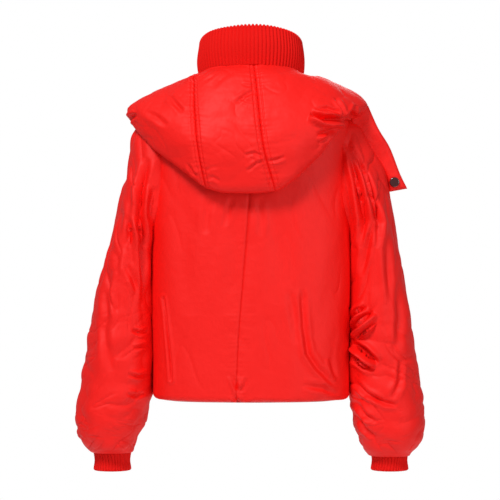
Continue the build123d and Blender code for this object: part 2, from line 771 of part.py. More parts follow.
# The other half of the folded hood, bunched up between the outer half and the back of the body
with BuildPart() as hood_inner_padding:
    add(cleared(hood["lining"]))
    add(neck_band_ring.part, mode=Mode.SUBTRACT)
    add(snap_seats.part, mode=Mode.SUBTRACT)
hood_inner_padding.part.label = "hood_inner_padding"
export_step(hood_inner_padding.part, "parts/hood_inner_padding.step")

# Chin flaps hang from the two front ends of the hood: the right one over the sleeve, the left one in front
right_flap_pivot = (hood_low_x - 11.0, -62.0)
right_flap_inner_x = hood_low_x - 2.0
flap_x, flap_z = right_flap_pivot
with BuildPart() as hood_flap_right:
    with BuildSketch(Plane.XZ.offset(-right_flap_back_y)):
        with BuildLine():
            Polyline(
                (flap_x, flap_z),
                (flap_x - 7, flap_z - 18),
                (flap_x - 26, flap_z - 47),
                (flap_x - 37, flap_z - 76),
                (flap_x - 50, flap_z - 110),
                (flap_x - 60, flap_z - 128),
                (flap_x - 30, flap_z - 137),
                (right_flap_inner_x, flap_z - 140),
                (right_flap_inner_x, flap_z - 3),
                close=True,
            )
        make_face()
    extrude(amount=right_flap_back_y - right_flap_front_y)
    add(sleeve[-1, "clear"], mode=Mode.SUBTRACT)
hood_flap_right.part.label = "hood_flap_right"
export_step(hood_flap_right.part, "parts/hood_flap_right.step")

# Dark snap cap near the foot of the right flap, with its socket on the inside
right_snap_point = (flap_x - right_flap_snap_out, right_flap_back_y, flap_z - right_flap_snap_drop)
with BuildPart() as flap_snap_cap:
    with BuildSketch(Plane(origin=right_snap_point, z_dir=(0, 1, 0))):
        Circle(snap_radius)
    extrude(amount=snap_height)
    fillet(flap_snap_cap.edges().group_by(Axis.Y)[-1], radius=snap_height / 3)
flap_snap_cap.part.label = "flap_snap_cap"
export_step(flap_snap_cap.part, "parts/flap_snap_cap.step")

left_flap_front_y = -elbow_half_depth - hood_clearance - flap_thickness
with BuildPart() as hood_flap_left:
    with BuildSketch(Plane.XZ.offset(-left_flap_front_y - flap_thickness)):
        with Locations((left_flap_x, -left_flap_drop - left_flap_length / 2)):
            Rectangle(left_flap_width, left_flap_length)
    extrude(amount=flap_thickness)
    fillet(hood_flap_left.edges().filter_by(Axis.Y).group_by(Axis.Z)[0], radius=left_flap_width / 4)
hood_flap_left.part.label = "hood_flap_left"
export_step(hood_flap_left.part, "parts/hood_flap_left.step")

left_snap_point = (left_flap_x, left_flap_front_y, left_flap_snap_rise - left_flap_drop - left_flap_length)
with BuildPart() as flap_snap_stud:
    with BuildSketch(Plane(origin=left_snap_point, z_dir=(0, -1, 0))):
        Circle(snap_radius)
    extrude(amount=snap_height / 2)
    with BuildSketch(Plane(origin=left_snap_point, z_dir=(0, -1, 0))):
        Circle(stud_radius)
    extrude(amount=snap_height)
flap_snap_stud.part.label = "flap_snap_stud"
export_step(flap_snap_stud.part, "parts/flap_snap_stud.step")

# Hanging loop inside the back of the neck, with a gap behind it for a hook
loop_y = neck_half_depth - body_insets["lining"] - loop_gap
with BuildPart() as hang_loop:
    with BuildSketch(Plane.XZ.offset(-loop_y)):
        with Locations((0, loop_rise - loop_drop / 2)):
            Rectangle(loop_width, loop_drop)
        with Locations((0, loop_rise - (loop_drop - loop_tape_width) / 2)):
            Rectangle(loop_width - 2 * loop_tape_width, loop_drop - loop_tape_width, mode=Mode.SUBTRACT)
    extrude(amount=loop_tape_thickness)
    for side, _ in sides:
        low_x, high_x = sided(side, loop_width / 2 - loop_tape_width, loop_width / 2)
        with Locations((low_x, loop_y - loop_tape_thickness, loop_rise - loop_tape_width)):
            Box(
                high_x - low_x,
                loop_leg_length,
                loop_tape_width,
                align=(Align.MIN, Align.MIN, Align.MIN),
            )
    add(body["lining"], mode=Mode.INTERSECT)
hang_loop.part.label = "hang_loop"
export_step(hang_loop.part, "parts/hang_loop.step")
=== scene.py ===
# %% [markdown]
# # A padded ski jacket with a knitted collar and a hood folded down on the back
# The imported model gives the frame: where the neck, the hem, the sleeves and every joint are. Here each
# fabric piece is made as its own mesh in that frame; most ride on the body of the model they belong to,
# while the sleeves and chin flaps are baked in place without a body. All lengths are metres unless they
# are multiplied by MM.

# %% Load the frame
import json
import math

import bpy
import numpy as np
from mathutils.bvhtree import BVHTree
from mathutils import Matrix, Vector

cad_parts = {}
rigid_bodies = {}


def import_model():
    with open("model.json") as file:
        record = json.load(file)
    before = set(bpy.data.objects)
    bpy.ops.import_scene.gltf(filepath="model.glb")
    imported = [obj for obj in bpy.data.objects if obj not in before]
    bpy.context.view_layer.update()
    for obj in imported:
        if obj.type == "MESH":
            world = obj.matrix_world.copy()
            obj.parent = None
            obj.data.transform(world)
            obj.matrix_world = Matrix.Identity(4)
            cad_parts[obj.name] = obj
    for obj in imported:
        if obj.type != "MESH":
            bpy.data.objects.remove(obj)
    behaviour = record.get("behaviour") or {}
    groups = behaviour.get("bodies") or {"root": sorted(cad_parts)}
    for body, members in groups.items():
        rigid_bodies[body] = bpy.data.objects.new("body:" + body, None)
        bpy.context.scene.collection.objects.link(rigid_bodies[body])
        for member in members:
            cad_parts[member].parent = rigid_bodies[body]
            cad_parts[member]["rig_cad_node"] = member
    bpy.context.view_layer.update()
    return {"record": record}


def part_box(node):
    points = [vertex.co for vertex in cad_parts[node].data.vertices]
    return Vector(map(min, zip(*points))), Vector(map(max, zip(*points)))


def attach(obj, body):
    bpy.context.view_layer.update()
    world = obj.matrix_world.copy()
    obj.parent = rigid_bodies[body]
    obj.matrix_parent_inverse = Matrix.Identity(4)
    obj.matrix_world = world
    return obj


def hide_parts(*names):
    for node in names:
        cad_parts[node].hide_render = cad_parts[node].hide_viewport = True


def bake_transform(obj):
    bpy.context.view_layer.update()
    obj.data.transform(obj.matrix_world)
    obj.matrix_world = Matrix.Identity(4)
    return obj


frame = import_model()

MM = 0.001

# %% [markdown]
# ## Sizes read from the frame
# The pattern of a jacket starts from a few measures: the height of the hem, the neck opening, the
# width of the chest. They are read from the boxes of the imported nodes, so the cloth always fits them.

# %% Measure the frame


def joined_box(*nodes):
    """Lowest and highest corner of several nodes together."""
    corners = [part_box(node) for node in nodes]
    return np.min([c[0] for c in corners], axis=0), np.max([c[1] for c in corners], axis=0)


back_low, back_high = joined_box("back_panel_left", "back_panel_right")
front_low = joined_box("front_panel_left")[0]
cuff_low = joined_box("knit_cuff_left")[0]

hem_z = back_low[2]
chest_half_width = back_high[0]
back_y = back_high[1]
front_y_at_hem = front_low[1]
front_edge = front_low[0]
neck_rise = back_high[2]
neck_half_depth = 74 * MM
front_slope = (front_y_at_hem + neck_half_depth) / (hem_z + neck_rise)
print("hem", round(hem_z, 4), "chest half width", round(chest_half_width, 4), "back", round(back_y, 4))
print("neck rise", round(neck_rise, 4), "front edge", round(front_edge, 4), "cuff bottom", round(cuff_low[2], 4))

# %% [markdown]
# ## Curves and surfaces from a few measures
# A tailor draws a smooth line through a few marks. The helper below does the same: it runs a smooth
# curve through named stations without overshooting them. A rounded box curve (a superellipse) gives
# the flat back and full sides of a stuffed body.

# %% Curve helpers


def through(marks, at):
    """Smooth curve through marks (place, value, value...), read at each place in at."""
    marks = np.array(marks, float)
    x, y = marks[:, 0], marks[:, 1:]
    at = np.clip(np.asarray(at, float), x[0], x[-1])
    gap = np.diff(x)[:, None]
    rise = np.diff(y, axis=0) / gap
    slope = np.vstack([rise[:1], np.zeros_like(y[1:-1]), rise[-1:]])
    same = rise[:-1] * rise[1:] > 0
    mean = 2 * rise[:-1] * rise[1:] / np.where(same, rise[:-1] + rise[1:], 1)
    slope[1:-1] = np.where(same, mean, 0)
    i = np.clip(np.searchsorted(x, at) - 1, 0, len(x) - 2)
    t = ((at - x[i]) / gap[i, 0])[..., None]
    a, b = y[i], y[i + 1]
    ma, mb = slope[i] * gap[i], slope[i + 1] * gap[i]
    return (a * (2 * t**3 - 3 * t**2 + 1) + ma * (t**3 - 2 * t**2 + t)
            + b * (3 * t**2 - 2 * t**3) + mb * (t**3 - t**2))


def rounded(angle, fullness):
    """Unit superellipse: fullness 2 is an ellipse, more is squarer."""
    c, s = np.cos(angle), np.sin(angle)
    power = 2 / fullness
    return np.sign(c) * np.abs(c)**power, np.sign(s) * np.abs(s)**power


def normals(grid, wrap=False):
    """Unit normals of a grid of points (rows, columns, 3)."""
    if wrap:
        across = np.roll(grid, -1, 1) - np.roll(grid, 1, 1)
    else:
        across = np.gradient(grid, axis=1)
    along = np.gradient(grid, axis=0)
    n = np.cross(across, along)
    return n / np.maximum(np.linalg.norm(n, axis=-1, keepdims=True), 1e-12)


def smoothstep(low, high, value):
    """0 below low, 1 above high, eased between."""
    t = np.clip((value - low) / (high - low), 0, 1)
    return t * t * (3 - 2 * t)


# %% [markdown]
# ## Noise and creases
# Stuffed nylon doesn't wrinkle evenly: it makes round pillows with sharp valleys between them. The
# size of a smooth noise, which has a sharp crease wherever the noise is zero, has that look. Single
# creases are drawn one by one: a short line with a width and a depth, pressed into the surface like a
# sculptor's tool, with a soft ridge on each side.

# %% Noise and crease helpers
dice = np.random.RandomState(7)
NOISE_TABLE = dice.permutation(512)
NOISE_ARROWS = dice.normal(size=(512, 3))
NOISE_ARROWS /= np.linalg.norm(NOISE_ARROWS, axis=1)[:, None]


def noise(points, size, seed=0):
    """Smooth noise from about -1 to 1; size is one bump in millimetres, or one size for each axis."""
    p = np.asarray(points, float) / (np.asarray(size) * MM) + seed * 17.31
    cell = np.floor(p).astype(int)
    f = p - cell
    ease = f * f * f * (f * (f * 6 - 15) + 10)
    total = 0
    for dx in (0, 1):
        for dy in (0, 1):
            for dz in (0, 1):
                key = NOISE_TABLE[(cell[..., 0] + dx) & 511]
                key = NOISE_TABLE[(key + cell[..., 1] + dy) & 511]
                key = NOISE_TABLE[(key + cell[..., 2] + dz) & 511]
                dot = ((f - (dx, dy, dz)) * NOISE_ARROWS[key]).sum(-1)
                weight = (np.where(dx, ease[..., 0], 1 - ease[..., 0])
                          * np.where(dy, ease[..., 1], 1 - ease[..., 1])
                          * np.where(dz, ease[..., 2], 1 - ease[..., 2]))
                total = total + dot * weight
    return total * 1.5


def pillows(points, size, seed=0):
    """Puffed cloth: 0 in the sharp valleys, about 1 on the pillows."""
    return np.abs(noise(points, size, seed)) * 2


def wrinkles(points, size, seed=0, thin=0.10):
    """Thin valleys along the zero lines of a noise, broken up by a second noise: 0 on the flat, -1 in a valley."""
    valley = np.exp(-np.abs(noise(points, size, seed)) / thin)
    return -valley * smoothstep(-0.15, 0.35, noise(points, np.asarray(size) * 1.3, seed + 50))


def turned(grid, degrees):
    """The points turned about the front-to-back axis, so that a long noise lies along a slope."""
    c, s = math.cos(math.radians(degrees)), math.sin(math.radians(degrees))
    x, y, z = np.moveaxis(grid, -1, 0)
    return np.stack([c * x + s * z, y, c * z - s * x], -1)


def line_distance(flat, line):
    """Signed distance to a polyline, distance run along it, and its length, for 2-D points."""
    line = np.array(line, float) * MM
    best = np.full(flat.shape[:-1], 1e9)
    signed = np.zeros(flat.shape[:-1])
    run = np.zeros(flat.shape[:-1])
    start = 0
    for a, b in zip(line[:-1], line[1:]):
        step = b - a
        length = np.linalg.norm(step)
        t = np.clip(((flat - a) @ step) / length**2, 0, 1)
        off = flat - (a + t[..., None] * step)
        d = np.linalg.norm(off, axis=-1)
        nearer = d < best
        side = step[0] * off[..., 1] - step[1] * off[..., 0]
        best = np.where(nearer, d, best)
        signed = np.where(nearer, np.where(side < 0, -d, d), signed)
        run = np.where(nearer, start + t * length, run)
        start += length
    return signed, run, start


def crease(grid, line, width, depth, lip=0.35, fold=0.0):
    """Push along the normal for one crease drawn on the x-z plane in millimetres; fold lifts one side."""
    signed, run, length = line_distance(grid[..., [0, 2]], line)
    w = 0.8 * width * MM
    t = run / length
    fade = np.sin(np.pi * np.clip(t, 0, 1))**0.6
    d = np.abs(signed)
    valley = -np.exp(-(d / w)**2)
    ridge = lip * np.exp(-((d - 2 * w) / w)**2)
    lift = fold * np.exp(-((signed - 1.6 * w) / (1.2 * w))**2)
    return 1.7 * depth * MM * fade * (valley + ridge + lift)


def creases(grid, marks, back=True):
    """All the creases of a list, on the back or on the front side of a piece."""
    facing = grid[..., 1] - grid[..., 1].mean(axis=1, keepdims=True)
    side = smoothstep(-15 * MM, 15 * MM, facing if back else -facing)
    return sum(crease(grid, *mark) for mark in marks) * side


def seam_puckers(signed, run, pucker, pitch, reach, seed=3):
    """Small puckers that run out from a sewn seam on both sides."""
    place = np.stack([run, 0 * run, 0 * run], -1)
    wave = np.sin(2 * np.pi * (run / (pitch * MM) + 1.2 * noise(place, 26, seed)) + (signed > 0) * 2.0)
    strength = 0.6 + 0.8 * noise(place, 40, seed + 1)
    return pucker * MM * wave * strength * np.exp(-np.abs(signed) / (reach * MM))


def edge_run(grid, side):
    """Distance over the cloth from one side of a grid: left, right, bottom (first row) or top."""
    axis = 1 if side in ("left", "right") else 0
    length = np.linalg.norm(np.diff(grid, axis=axis), axis=-1)
    reverse = side in ("right", "top")
    if reverse:
        length = np.flip(length, axis)
    run = np.cumsum(length, axis=axis)
    zero = np.zeros_like(np.take(run, [0], axis))
    run = np.concatenate([zero, run], axis)
    return np.flip(run, axis) if reverse else run


# %% [markdown]
# ## From a grid of points to a closed piece
# Every padded panel is an outer face and an inner face joined round the edge, so that it is a closed
# solid like the real stuffed panel. Squares of the grid can be left out, for instance for an armhole,
# and the wall then follows the edge of the hole.

# %% Mesh helpers
materials = {}


def new_piece(name, vertices, faces, material, body):
    """A smooth mesh object in the row frame that rides on a body and has its material."""
    used = np.unique(faces)
    place = np.zeros(len(vertices), int)
    place[used] = np.arange(len(used))
    mesh = bpy.data.meshes.new(name)
    mesh.from_pydata(vertices[used].tolist(), [], place[faces].tolist())
    mesh.polygons.foreach_set("use_smooth", [True] * len(mesh.polygons))
    mesh.materials.append(materials[material])
    piece = bpy.data.objects.new(name, mesh)
    bpy.context.scene.collection.objects.link(piece)
    if body:
        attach(piece, body)
    return piece


def panel(name, outer, inner, material, body="root", wrap=False, keep=None):
    """A closed piece from an outer and an inner grid of the same shape, joined along every open edge."""
    rows, columns, _ = outer.shape
    r, c = np.meshgrid(np.arange(rows - 1), np.arange(columns if wrap else columns - 1), indexing="ij")
    a = r * columns + c
    b = r * columns + (c + 1) % columns
    quads = np.stack([a, b, b + columns, a + columns], -1)
    quads = quads[keep] if keep is not None else quads.reshape(-1, 4)
    edges = np.concatenate([quads[:, [i, (i + 1) % 4]] for i in range(4)])
    count = rows * columns
    key = edges[:, 0] * count + edges[:, 1]
    rim = edges[~np.isin(edges[:, 1] * count + edges[:, 0], key)]
    walls = np.stack([rim[:, 1], rim[:, 0], rim[:, 0] + count, rim[:, 1] + count], -1)
    faces = np.concatenate([quads, quads[:, ::-1] + count, walls])
    vertices = np.concatenate([outer.reshape(-1, 3), inner.reshape(-1, 3)])
    return new_piece(name, vertices, faces, material, body)


def quads_where(flags, wrap=False):
    """A flag per grid square: set where all four corners are set."""
    right = np.roll(flags, -1, 1) if wrap else flags[:, 1:]
    left = flags if wrap else flags[:, :-1]
    both = left & right
    return both[:-1] & both[1:]


def surface_tree(pieces):
    """A search tree over the outer faces of several pieces."""
    vertices, polygons = [], []
    for piece in pieces:
        start = len(vertices)
        vertices += [v.co.copy() for v in piece.data.vertices]
        polygons += [[start + i for i in p.vertices] for p in piece.data.polygons]
    return BVHTree.FromPolygons(vertices, polygons)


def distance_outside(grid, tree):
    """Signed distance of each point to the nearest face of a tree, positive outside, and its normal."""
    flat = grid.reshape(-1, 3)
    away = np.empty(len(flat))
    facing = np.empty((len(flat), 3))
    for i, p in enumerate(flat):
        spot, normal, _, gap = tree.find_nearest(p)
        facing[i] = normal
        away[i] = gap if np.dot(p - np.array(spot), normal) >= 0 else -gap
    return away.reshape(grid.shape[:-1]), facing.reshape(grid.shape)


# %% [markdown]
# ## Nylon satin, knit, lining and enamel
# The shell is a closely woven nylon with a soft satin shine: smooth filament yarns give a broad
# highlight and a little pale sheen at grazing angles. The weave itself is far too fine to show, so
# its bump is drawn as the small crinkles that the finish leaves, a few millimetres across.

# %% Material helpers


def hex_to_linear(code):
    """sRGB hex to linear RGBA."""
    values = [int(code[i:i + 2], 16) / 255 for i in (1, 3, 5)]
    return (*[v / 12.92 if v <= 0.04045 else ((v + 0.055) / 1.055)**2.4 for v in values], 1.0)


def add_node(tree, kind, settings, inputs):
    """A shader node with its settings; an input is a value, or the output socket that feeds it."""
    node = tree.nodes.new(kind)
    for key, value in settings.items():
        setattr(node, key, value)
    for key, value in inputs.items():
        if isinstance(value, bpy.types.NodeSocket):
            tree.links.new(value, node.inputs[key])
        else:
            node.inputs[key].default_value = value
    return node


def new_material(name, colour, **sockets):
    """A material with one Principled shader whose sockets are set; returns its tree and the place on the object."""
    material = bpy.data.materials.new(name)
    material.use_nodes = True
    tree = material.node_tree
    shader = tree.nodes["Principled BSDF"]
    shader.inputs["Base Color"].default_value = hex_to_linear(colour)
    for key, value in sockets.items():
        shader.inputs[key.replace("_", " ")].default_value = value
    materials[name] = material
    return tree, shader, add_node(tree, "ShaderNodeTexCoord", {}, {}).outputs["Object"]


def bumped(tree, shader, height, strength, depth_mm):
    """Feeds a height pattern to the shader's normal; depth_mm is the real height of the relief."""
    bump = add_node(tree, "ShaderNodeBump", {}, {"Strength": strength, "Distance": depth_mm * MM, "Height": height})
    tree.links.new(bump.outputs["Normal"], shader.inputs["Normal"])


# %% Nylon shell
tree, shader, place = new_material("red_nylon_satin", "#F5120B", Roughness=0.58, IOR=1.5, Specular_IOR_Level=0.30)
crinkle_mm = 7.0
crinkle = add_node(tree, "ShaderNodeTexNoise", {}, {"Vector": place, "Scale": 1000 / crinkle_mm, "Detail": 3.0})
bumped(tree, shader, crinkle.outputs["Fac"], 0.5, 1.0)

# %% Rib knit
tree, shader, place = new_material("red_rib_knit", "#E6120C", Roughness=0.9, IOR=1.45, Specular_IOR_Level=0.25)
loop_mm = 1.5
loops = add_node(tree, "ShaderNodeTexVoronoi", {}, {"Vector": place, "Scale": 1000 / loop_mm})
bumped(tree, shader, loops.outputs["Distance"], 0.6, 0.3)

# %% Lining, tape, enamel, moulded plastic and label
tree, shader, place = new_material("red_taffeta_lining", "#E01810", Roughness=0.38, IOR=1.5)
ripple = add_node(tree, "ShaderNodeTexNoise", {}, {"Vector": place, "Scale": 1000 / 14.0, "Detail": 3.0})
bumped(tree, shader, ripple.outputs["Fac"], 0.5, 1.0)

tree, shader, place = new_material("red_woven_tape", "#C81C16", Roughness=0.8, IOR=1.5)
twill = add_node(tree, "ShaderNodeTexWave", {"bands_direction": "DIAGONAL"}, {"Vector": place, "Scale": 1000 / 16.0})
bumped(tree, shader, twill.outputs["Fac"], 0.4, 0.2)

tree, shader, place = new_material("dark_enamelled_brass", "#3E0509", Roughness=0.12, IOR=1.55, Coat_Weight=1.0,
                                   Coat_Roughness=0.04)
specks = add_node(tree, "ShaderNodeTexNoise", {}, {"Vector": place, "Scale": 1000 / 1.5, "Detail": 2.0})
bumped(tree, shader, specks.outputs["Fac"], 0.1, 0.05)

tree, shader, place = new_material("moulded_acetal", "#C01D18", Roughness=0.35, IOR=1.48)
grain = add_node(tree, "ShaderNodeTexNoise", {}, {"Vector": place, "Scale": 1000 / 0.8, "Detail": 2.0})
bumped(tree, shader, grain.outputs["Fac"], 0.2, 0.1)

tree, shader, place = new_material("white_woven_label", "#E8E4DC", Roughness=0.7, IOR=1.5)
weave = add_node(tree, "ShaderNodeTexWave", {}, {"Vector": place, "Scale": 1000 / 8.0})
bumped(tree, shader, weave.outputs["Fac"], 0.4, 0.15)
print("materials", sorted(materials))

# %% [markdown]
# ## Hard and thin parts kept from the model
# The zip, the snaps, the linings, the loop and the label are already exact in the model. They keep
# their shape and only get their finish, chosen from the record's material slot of each node.

# %% Finish the kept parts
finish_of_slot = {"lining_fabric": "red_taffeta_lining", "zip_tape": "red_woven_tape", "zip_teeth": "moulded_acetal",
                  "zip_metal": "dark_enamelled_brass", "snap_enamel": "dark_enamelled_brass",
                  "label_fabric": "white_woven_label", "rib_knit": "red_rib_knit", "padding": "red_taffeta_lining",
                  "shell_fabric": "red_nylon_satin"}
slot_of_node = {part["node"]: part["material_slot"] for part in frame["record"]["subparts"]}
for part in bpy.data.objects:
    node = part.get("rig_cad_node")
    if node in slot_of_node:
        part.data.materials.clear()
        part.data.materials.append(materials[finish_of_slot[slot_of_node[node]]])
print("finished", len(slot_of_node), "nodes")

# %% [markdown]
# ## The body
# The body is a stuffed tube: flat across the back, full at the sides, with sloping shoulders and a
# neck opening that dips to the front. One function gives its surface, and each panel takes its own
# stretch of it, so neighbouring panels meet exactly at their seams. The armholes are left open.

# %% Body surface
BODY_STATIONS = np.array([
    (0.00, -600, 112, -600, 167),
    (0.008, -597, 115, -597, 173),
    (0.025, -588, 117, -588, 178.5),
    (0.42, -345, 115, -345, 180),
    (0.62, -225, 113, -225, 181),
    (0.72, -142, 111, -118, 181),
    (0.80, -106, 107, -66, 179),
    (0.87, -80, 101, -26, 168),
    (0.92, -60, 93, -2, 145),
    (0.96, -42, 84, 14, 118),
    (1.00, -27, 74, 27, 92),
]) * [1, MM, MM, MM, MM]
BODY_STATIONS[:3, [1, 3]] += hem_z + 600 * MM
SLEEVE_HEAD = np.array([
    (-320, 182, 266, 82),
    (-230, 150, 244, 80),
    (-170, 120, 229, 76),
    (-108, 104, 213, 68),
    (-75, 112, 193, 52),
    (-58, 128, 172, 30),
]) * MM


def front_y(z):
    """Depth of the centre-front line at height z."""
    return -neck_half_depth + (z + neck_rise) * front_slope


def body_surface(angle, height, inset=0.0):
    """Points of the body: angle 0 is the wearer's left, a quarter turn the back; height 0 hem, 1 neck."""
    front_z, far_y, back_z, half_width = np.moveaxis(through(BODY_STATIONS, height), -1, 0)
    near_y = front_y(front_z)
    c, s = rounded(angle, 2.7 - 0.7 * smoothstep(0.8, 1.0, height))
    reach = np.hypot(far_y - near_y, back_z - front_z)
    depth = reach / 2 - inset
    lean_y, lean_z = (far_y - near_y) / reach, (back_z - front_z) / reach
    x = (half_width - inset) * c
    y = (near_y + far_y) / 2 + depth * s * lean_y
    z = (front_z + back_z) / 2 + depth * s * lean_z
    return np.stack([x, y, z], -1)


def front_angle(height, edge):
    """Angle of the front surface at a distance edge from the centre-front line, for each height."""
    half_width = through(BODY_STATIONS, height)[..., 3]
    fullness = 2.7 - 0.7 * smoothstep(0.8, 1.0, height)
    return np.arcsin((edge / half_width)**(fullness / 2)) / (2 * np.pi)


def in_armhole(points):
    """Which points of the body lie well inside the sleeve head of their side."""
    inner, outer, deep = np.moveaxis(through(SLEEVE_HEAD, points[..., 2]), -1, 0)
    across = (np.abs(points[..., 0]) - (inner + outer) / 2) / ((outer - inner) / 2)
    reach = across**2 + (points[..., 1] / deep)**2
    return (reach < 0.62) & (points[..., 2] > SLEEVE_HEAD[0, 0]) & (points[..., 2] < -75 * MM)


# %% Body panels
PAD = 16 * MM
BACK_CREASES = [
    ([(158, -385), (153, -420), (146, -480), (142, -540)], 3.0, 2.2, 0.5, 0.3),
    ([(-68, -375), (-80, -430), (-84, -470)], 9, 1.8, 0.4, 0.0),
    ([(-90, -372), (-94, -440), (-101, -487), (-117, -512), (-140, -535), (-165, -558)], 6, 3.0, 0.5, 0.5),
    ([(-142, -495), (-150, -525), (-163, -545)], 6, 2.6, 0.5, 0.4),
    ([(-92, -543), (-130, -550), (-170, -567)], 6, 2.4, 0.4, 0.4),
    ([(-165, -410), (-170, -450), (-160, -500)], 6, 2.6, 0.5, 0.3),
    ([(45, -215), (20, -300), (34, -420)], 26, 2.0, 0.2, 0.0),
    ([(-40, -220), (-55, -330), (-45, -400)], 24, 1.6, 0.2, 0.0),
    ([(112, -190), (120, -300), (108, -420)], 22, 1.6, 0.2, 0.0),
    ([(34, -212), (42, -240), (48, -262)], 6, 1.6, 0.5, 0.0),
    ([(-14, -215), (-18, -250), (-16, -280)], 6, 1.6, 0.5, 0.0),
    ([(70, -205), (78, -240), (80, -275)], 8, 1.6, 0.5, 0.0),
    ([(34, -525), (27, -545), (20, -556)], 4, 2.0, 0.6, 0.4),
    ([(34, -560), (24, -572), (19, -582)], 4, 2.0, 0.6, 0.4),
    ([(6, -530), (14, -548), (19, -556)], 4, 2.0, 0.6, 0.4),
    ([(-4, -572), (8, -582), (18, -596)], 4, 2.2, 0.6, 0.4),
]
POCKET_LINE = [(158, -390), (153, -420), (146, -480), (143, -535)]


def body_push(grid):
    """Soft fullness, broad folds and drawn creases of a body panel."""
    push = 2.2 * MM * noise(grid, 120, 1) + 1.1 * MM * noise(turned(grid, 12), (34, 34, 130), 2)
    push = push + 1.5 * MM * wrinkles(turned(grid, -14), (40, 60, 120), 6)
    push = push + 0.3 * MM * noise(grid, 14, 5)
    signed, run, _ = line_distance(grid[..., [0, 2]], POCKET_LINE)
    on_back = smoothstep(0, 20 * MM, grid[..., 1])
    slit = np.exp(-(signed / (1.6 * MM))**2) - 0.5 * np.exp(-((np.abs(signed) - 5 * MM) / (3 * MM))**2)
    push = push - 2.4 * MM * slit * on_back
    return push + creases(grid, BACK_CREASES)


def body_panel(name, angles, replaced, sewn, zip_side=None):
    """One padded panel, puffed between its seams; angles is a grid of angles in turns, from the hem up.

    Beside the zip the fabric is stitched flat over the tape.
    """
    rows, columns = angles.shape
    height = np.linspace(0, 1, rows)[:, None] * np.ones(columns)
    base = body_surface(angles * 2 * np.pi, height)
    push = body_push(base)
    for side, depth, width in sewn:
        run = edge_run(base, side)
        push = push - depth * MM * np.exp(-(run / (width * MM))**2)
        if side in ("left", "right"):
            push = push + seam_puckers(run, base[..., 2] - hem_z, 0.5, 11, 12)
    if zip_side:
        run = edge_run(base, zip_side)
        flat = 1 - smoothstep(22 * MM, 45 * MM, run)
        push = push * (1 - flat) + flat * MM * (1.6 - 1.4 * np.exp(-(run / (3 * MM))**2))
    outer = base + normals(base) * push[..., None]
    inner = body_surface(angles * 2 * np.pi, height, PAD)
    keep = ~quads_where(in_armhole(base))
    piece = panel(name, outer, inner, "red_nylon_satin", keep=keep)
    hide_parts(*replaced)
    return piece


ROWS, COLUMNS = 280, 140
height_rows = np.linspace(0, 1, ROWS)[:, None]
step = np.linspace(0, 1, COLUMNS)[None, :]
edge = front_angle(height_rows, front_edge)
back_middle = 0.25 - 0.012 * (1 - smoothstep(0.0, 0.75, height_rows))
quarters = {
    "body_back_left": 0 + (back_middle - 0) * step,
    "body_back_right": back_middle + (0.5 - back_middle) * step,
    "body_front_right": 0.5 + (0.25 - edge) * step,
    "body_front_left": 0.75 + edge + (0.25 - edge) * step,
}
body_pieces = []
for name, angles in quarters.items():
    part, side = name.split("_")[1:]
    replaced = (f"{part}_panel_{side}", f"{part}_padding_{side}")
    hemmed = [("bottom", 4, 5), ("top", 3, 6)]
    zip_side = None
    if part == "back":
        sewn = [("left", 2.5, 4), ("right", 1.3, 3)] if side == "left" else [("left", 1.3, 3), ("right", 2.5, 4)]
    else:
        sewn = [("left", 2.5, 4)] if side == "right" else [("right", 2.5, 4)]
        zip_side = "right" if side == "right" else "left"
    body_pieces.append(body_panel(name, angles, replaced, sewn + hemmed, zip_side))
print("body panels", [p.name for p in body_pieces])

# %% [markdown]
# ## The balloon sleeves
# Each sleeve is one stuffed tube from the armhole to the cuff, fullest above the cuff, which it hangs
# over. The whole sleeve is one piece across the elbow, baked in place without a body. Its head
# disappears into the armhole seam: only the part outside the body is kept.

# %% Sleeve shape
SLEEVE_MARKS = {
    "left": [
        (0.00, -58, 128, 180, 30), (0.04, -75, 112, 203, 52), (0.09, -108, 104, 219, 68), (0.16, -156, 118, 224, 76),
        (0.24, -213, 142, 238, 80), (0.32, -271, 166, 252, 81), (0.40, -329, 174, 267, 82), (0.48, -386, 174, 282, 83),
        (0.56, -444, 174, 293, 83), (0.65, -501, 175, 303, 84), (0.74, -559, 179, 312, 84), (0.80, -591, 187, 318, 83),
        (0.86, -617, 193, 319, 80), (0.91, -637, 202, 317, 74), (0.95, -655, 209, 307, 64), (0.98, -667, 213, 296, 50),
        (0.99, -671, 215.5, 290, 43), (1.00, -669, 217, 288, 39.5)],
    "right": [
        (0.00, -58, 128, 172, 30), (0.04, -75, 112, 193, 52), (0.09, -108, 104, 215, 68), (0.16, -156, 118, 240, 76),
        (0.24, -213, 142, 254, 80), (0.32, -271, 166, 263, 81), (0.40, -329, 174, 275, 82), (0.48, -386, 174, 284, 83),
        (0.56, -444, 174, 293, 83), (0.65, -501, 175, 301, 84), (0.74, -559, 178, 310, 84), (0.80, -591, 184, 315, 83),
        (0.86, -617, 188, 317, 80), (0.91, -640, 193, 315, 74), (0.95, -659, 201, 306, 64), (0.98, -672, 210, 292, 50),
        (0.99, -677, 214.5, 289, 43), (1.00, -675, 217, 288, 39.5)],
}
